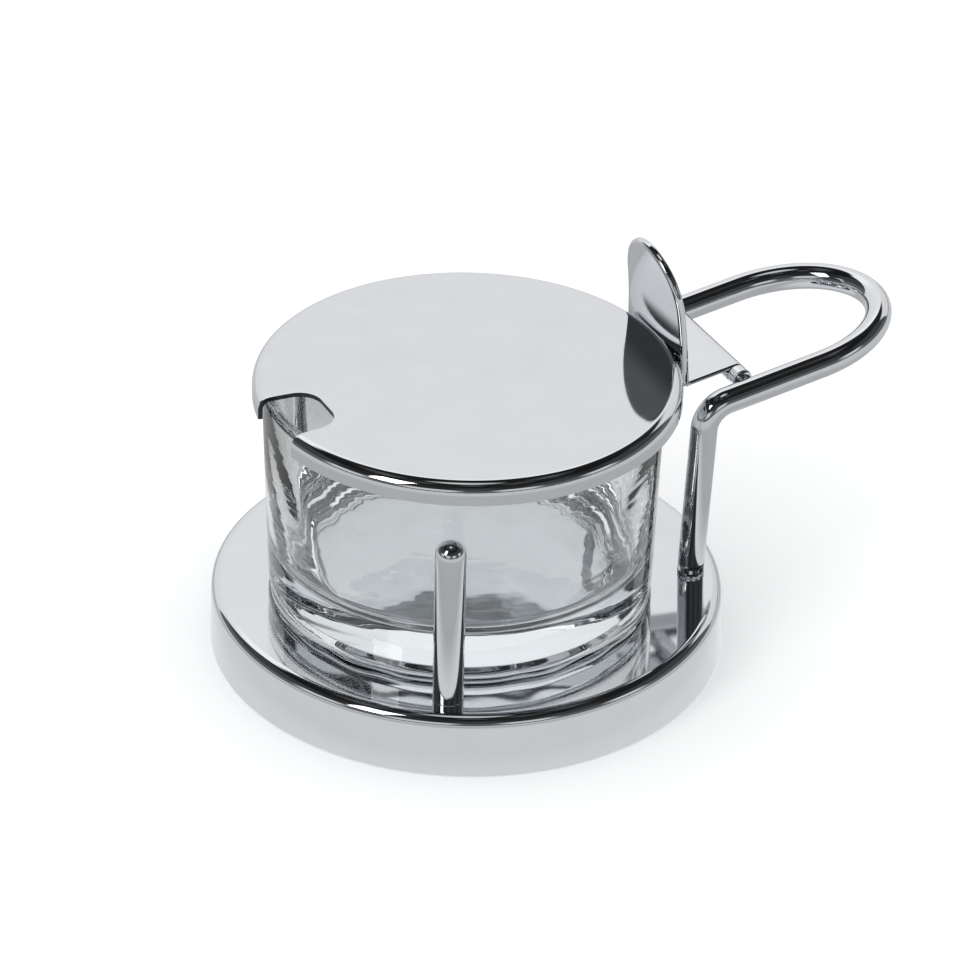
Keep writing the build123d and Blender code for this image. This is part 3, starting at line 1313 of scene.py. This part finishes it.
    def height_ramp(
        self, tree: Tree, place: Socket, levels: Pairs, tint: Triple = (1.0, 1.0, 1.0)
    ) -> Socket:
        """Make a ramp of brightness over the height of a direction.

        Args:
            tree: The world's tree.
            place: The direction's place on the ramp, half of the elevation's sine plus a half.
            levels: The levels between the horizon and the light panel at the zenith.
            tint: What the brightness is multiplied by, for red, green and blue.

        Returns:
            The ramp's colour.
        """
        every = (*self.below_levels, *levels, *self.zenith_levels)
        stops = [(0.5 + 0.5 * math.sin(math.radians(angle)), level) for angle, level in every]
        return self.brightness_ramp(tree, place, stops, tint)

    @staticmethod
    def brightness_ramp(
        tree: Tree, place: Socket, stops: Sequence[Pair], tint: Triple
    ) -> Socket:
        """Let a tinted brightness change from stop to stop.

        Args:
            tree: The tree.
            place: The place among the stops.
            stops: Places from 0 to 1, each with its brightness.
            tint: What the brightness is multiplied by, for red, green and blue.

        Returns:
            The ramp's colour.
        """
        ramp = add_node(tree, "ShaderNodeValToRGB", {"Fac": place})
        elements = ramp.color_ramp.elements
        while len(elements) < len(stops):
            elements.new(0.5)
        for element, (position, level) in zip(elements, stops):
            element.position = position
            element.color = (*(level * part for part in tint), 1)
        return ramp.outputs["Color"]

    def build_floor(self) -> None:
        """Lay the white floor, which keeps the object's shadow.

        What the steel mirrors of the floor is a painted reflection: a glow with no shadow in it,
        brightest round the foot, falling off to about a hundred millimetres from the middle and
        rising again further out.
        """
        reach = np.array([0.0, 1.0]) * self.floor_radius
        disc = np.stack([reach, reach * 0], axis=1)
        floor = grid_piece("floor", turned_grid(disc[::-1], (0, 0, 0)))
        material, tree, place = new_material("white_studio_paper")
        rays, seen = self.ray_kinds(tree, "Is Camera Ray")
        paper = add_node(tree, "ShaderNodeBsdfDiffuse", {"Color": linear(self.paper_tone)})
        # The paper is lifted to white where it is seen
        glow = add_node(tree, "ShaderNodeEmission", {"Strength": self.paper_lift})
        lifted = add_node(tree, "ShaderNodeAddShader", {0: paper.outputs[0], 1: glow.outputs[0]})
        plain = add_node(
            tree, "ShaderNodeMixShader", {0: seen, 1: paper.outputs[0], 2: lifted.outputs[0]}
        )
        reached = add_node(tree, "ShaderNodeVectorMath", {0: place}, operation="LENGTH")
        share = add_node(
            tree,
            "ShaderNodeMapRange",
            {"Value": reached.outputs["Value"], "From Max": self.mirrored_reach * MM},
        )
        # The steel sees the floor as a painted reflection: a glow set by the distance from the
        # middle, with no shadow in it
        stops = [(away / self.mirrored_reach, level) for away, level in self.painted_reflection_levels]
        colour = self.brightness_ramp(tree, share.outputs["Result"], stops, self.painted_reflection_tint)
        painted_reflection = add_node(tree, "ShaderNodeEmission", {"Color": colour})
        total = add_node(
            tree,
            "ShaderNodeMixShader",
            {0: rays.outputs["Is Glossy Ray"], 1: plain.outputs[0], 2: painted_reflection.outputs[0]},
        )
        add_node(tree, "ShaderNodeOutputMaterial", {"Surface": total.outputs[0]})
        floor.data.materials.append(material)

    def build_lamp(self) -> None:
        """Stand one tall soft lamp at the front left, for the glints on the steel's bends."""
        lamp = bpy.data.lights.new("tall_softbox", "AREA")
        lamp.shape = "RECTANGLE"
        lamp.size = self.lamp_width
        lamp.size_y = self.lamp_height
        lamp.energy = self.lamp_power
        holder = in_scene("tall_softbox", lamp)
        way = self.direction(self.lamp_azimuth, self.lamp_elevation)
        holder.location = way * self.lamp_distance
        holder.rotation_euler = way.to_track_quat("Z", "Y").to_euler()


def main() -> None:
    """Build the container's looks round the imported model."""
    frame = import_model()
    Studio().build()
    finishes = Finishes()
    Stand().build(finishes, frame["nodes"])
    Jar().build(finishes)
    Posts().build(finishes)
    Handle().build(finishes)
    Hinge().build(finishes)
    Lid().build(finishes)


if __name__ == "__main__":
    main()
